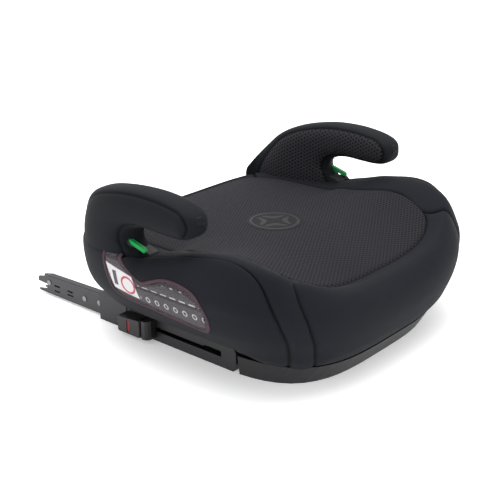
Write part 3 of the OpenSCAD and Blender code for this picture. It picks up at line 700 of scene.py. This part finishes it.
# ------------------------------------------------------------------ leaflet pocket
# On the right side a pocket of clear film is sewn onto the cover under a mauve edge tape. It
# holds a folded dark card with plain pale marks, and a white card with a ring.

pocket_top = [(-53, 84), (-50, 95), (-41, 109), (-20, 115), (4, 115), (24, 109), (38, 104), (52, 108),
              (66, 118), (80, 130), (100, 135)]
pocket_low = [(-53, 84), (-51, 74), (-46, 68), (-36, 65.5), (35, 72), (82, 76), (96, 92), (100, 133)]


def on_side(y, z, lift):
    """The point of the side cover at y and z, moved out by lift. Direction and ring number are
    found by twelve correction steps from the errors in y and z."""
    t, u = np.degrees(np.arctan2(y, 200)), np.clip((z - 24) / 20, 0, 6)
    for _ in range(12):
        error = np.stack([y, z], -1) - cover(u, t, armrest=True)[..., 1:]
        t, u = t + np.degrees(error[..., 0] / 205) * 0.8, np.clip(u + error[..., 1] / 24, 0, 5.4)
    points = cover(u, t, armrest=True)
    return points + outward(points) * lift


def pocket_sheet(name, top, low, lift, thick, shrink=0):
    """A thin sheet over the side: rows from its lower to its upper edge, at each distance y."""
    (y0, _), (y1, _) = top[0], top[-1]
    a, b = np.meshgrid(np.linspace(y0 + shrink, y1 - shrink, 72), np.linspace(0, 1, 22))
    floor = np.interp(a, *np.transpose(low)) + shrink
    ceiling = np.maximum(floor + 0.5, np.interp(a, *np.transpose(top)) - shrink)
    points = on_side(a, blend(floor, ceiling, b), lift)
    return padded_solid(name, mirrored(points + outward(points) * thick), mirrored(points))


card = pocket_sheet("folded_card", pocket_top, pocket_low, lift=1.3, thick=0.5, shrink=5)
film = pocket_sheet("pocket_film", pocket_top, pocket_low, lift=2.1, thick=0.25)

# The white card is a four-cornered sheet that leans with the pocket's rear edge
a, b = np.meshgrid(np.linspace(0, 1, 30), np.linspace(0, 1, 20))
corners = np.array([[(49, 80), (88, 84.5)], [(54, 107), (95.5, 115)]], float)
low_edge, high_edge = (blend(*pair, a[..., None]) for pair in corners)
flat = blend(low_edge, high_edge, b[..., None])
points = on_side(flat[..., 0], flat[..., 1], 1.85)
label = padded_solid("white_card", mirrored(points + outward(points) * 0.2), mirrored(points))

print_finish = Finish("printed card", Specular_IOR_Level=0.4)
x, y, z = print_finish.place()
y, z = y * 1000, z * 1000
cell_y, cell_z = (y * (1 / 14)).math("FRACT") - 0.5, (z * (1 / 15)).math("FRACT") - 0.5
dot = 1 - ((cell_y * cell_y + cell_z * cell_z) ** 0.5 - 0.2).size().rise(0.03, 0.07)
bar_mark = (1 - cell_z.size().rise(0.04, 0.08)) * (1 - cell_y.size().rise(0.3, 0.34))
row = (z * (1 / 15)).math("FLOOR").math("MODULO", 2).size()
marks = (dot * row).most(bar_mark * (1 - row)) * (1 - y.rise(46, 47))
paper = print_finish.noise(300, 2)
print_finish.set("Base Color", print_finish.mix(marks * 0.8, paint(40, 40, 43), paint(225, 227, 226)))
print_finish.set("Roughness", 0.5 + (paper - 0.5) * 0.2)
print_finish.bump(paper, 0.00005).on(card, slot="leaflet_card")
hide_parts("info_leaflet")
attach(card, "root")

white_finish = Finish("white card", Specular_IOR_Level=0.4)
x, y, z = white_finish.place()
y, z = y * 1000, z * 1000
reach = ((y - 63) ** 2 + (z - 93.5) ** 2) ** 0.5
ring = 1 - (reach - 10).size().rise(1.2, 1.6)
block = (1 - (y - 83).size().rise(3.0, 3.4)) * (1 - (z - 98).size().rise(9, 9.5))
paper = white_finish.noise(300, 2)
plain = white_finish.mix(block, paint(246, 245, 247), paint(50, 52, 56))
white_finish.set("Base Color", white_finish.mix(ring, plain, paint(205, 70, 80)))
white_finish.set("Roughness", 0.5 + (paper - 0.5) * 0.2)
white_finish.on(label, slot="leaflet_card")
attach(label, "root")

film_finish = Finish("pocket film", Specular_IOR_Level=0.35, Base_Color=paint(112, 100, 108))
cloud = film_finish.noise(30, 3)
film_finish.set("Roughness", 0.3 + cloud * 0.15)
film_finish.set("Alpha", 0.1 + cloud * 0.04)
film_finish.bump(cloud, 0.0004).on(film, slot="window_film")
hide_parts("pocket_window")
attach(film, "root")

# The film's edge is bound with a narrow mauve tape: a round-topped band along a closed line
line = np.concatenate([smooth_line(pocket_low, np.linspace(0, 1, 150)),
                       smooth_line(pocket_top[::-1], np.linspace(0, 1, 170))[1:]])
ahead = np.roll(line, -2, 0) - np.roll(line, 2, 0)
inward = np.stack([-ahead[:, 1], ahead[:, 0]], -1)
inward = inward / np.maximum(np.linalg.norm(ahead, axis=1, keepdims=True), 1e-6)
a, b = np.meshgrid(np.arange(len(line)), np.array([-1.5, -1.2, -0.6, 0, 0.6, 1.2, 1.5]), indexing="xy")
flat = line[a] + inward[a] * b[..., None]
points = on_side(flat[..., 0], flat[..., 1], 0)
tape_top = points + outward(points) * (2.1 + 0.9 * np.sqrt(np.maximum(0, 1 - (b / 1.55) ** 2)))[..., None]
tape = padded_solid("pocket_binding", mirrored(tape_top), mirrored(points + outward(points) * 0.2))
tape_finish = Finish("binding tape", Specular_IOR_Level=0.1)
thread = tape_finish.noise(900, 2)
tape_finish.set("Base Color", tape_finish.mix(thread, paint(58, 44, 50), paint(88, 68, 76)))
tape_finish.set("Roughness", 0.75 + (thread - 0.5) * 0.2)
tape_finish.bump(thread, 0.0002).on(tape, slot="knit_fabric")
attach(tape, "root")

# ------------------------------------------------------------------ floor, light and camera
# A plain white floor that glows a little and white surroundings, with one large soft light
# overhead.

bpy.ops.mesh.primitive_plane_add(size=60)
floor = bpy.context.object
floor.name = "studio_floor"
ground = Finish("studio floor", Roughness=0.9, Emission_Color=(1, 1, 1, 1), Emission_Strength=0.3)
whites = (0.9, 0.9, 0.9, 1), (0.93, 0.93, 0.93, 1)
ground.set("Base Color", ground.mix(ground.noise(3, 1), *whites)).on(floor)

world = bpy.data.worlds.new("studio")
world.use_nodes = True
world.node_tree.nodes["Background"].inputs[0].default_value = (1, 1, 1, 1)
world.node_tree.nodes["Background"].inputs[1].default_value = 1.02
bpy.context.scene.world = world


def softbox(name, size, power, place, target=(0, 0, 0.1)):
    light = bpy.data.lights.new(name, "AREA")
    light.shape, light.size, light.size_y, light.energy = "RECTANGLE", size[0], size[1], power
    box = bpy.data.objects.new(name, light)
    bpy.context.collection.objects.link(box)
    from_target = np.array(place) - np.array(target)
    away = from_target / np.linalg.norm(from_target)
    right = np.cross((0, 0, 1), away)
    right = right / np.linalg.norm(right) if np.linalg.norm(right) > 1e-6 else np.array([1, 0, 0])
    box.matrix_world = Matrix(
        [[*row, p] for row, p in zip(np.transpose([right, np.cross(away, right), away]).tolist(), place)]
        + [[0, 0, 0, 1]])
    return box


softbox("overhead", size=(1.8, 1.8), power=34, place=(0.1, 0.2, 1.9))

camera = bpy.data.cameras.new("camera")
camera.lens, camera.sensor_width = 74.45, 36
view = bpy.data.objects.new("camera", camera)
bpy.context.collection.objects.link(view)
azimuth, elevation = math.radians(-49.7), math.radians(21.15)
level = math.cos(elevation)
back_axis = (math.sin(azimuth) * level, -math.cos(azimuth) * level, math.sin(elevation))
right_axis = (math.cos(azimuth), math.sin(azimuth), 0)
up_axis = np.cross(back_axis, right_axis)
turned = np.transpose([right_axis, up_axis, back_axis]).tolist()
place = (-0.925, -0.725, 0.545)
view.matrix_world = Matrix([[*row, p] for row, p in zip(turned, place)] + [[0, 0, 0, 1]])
bpy.context.scene.camera = view
bpy.context.scene.view_settings.view_transform = "Standard"
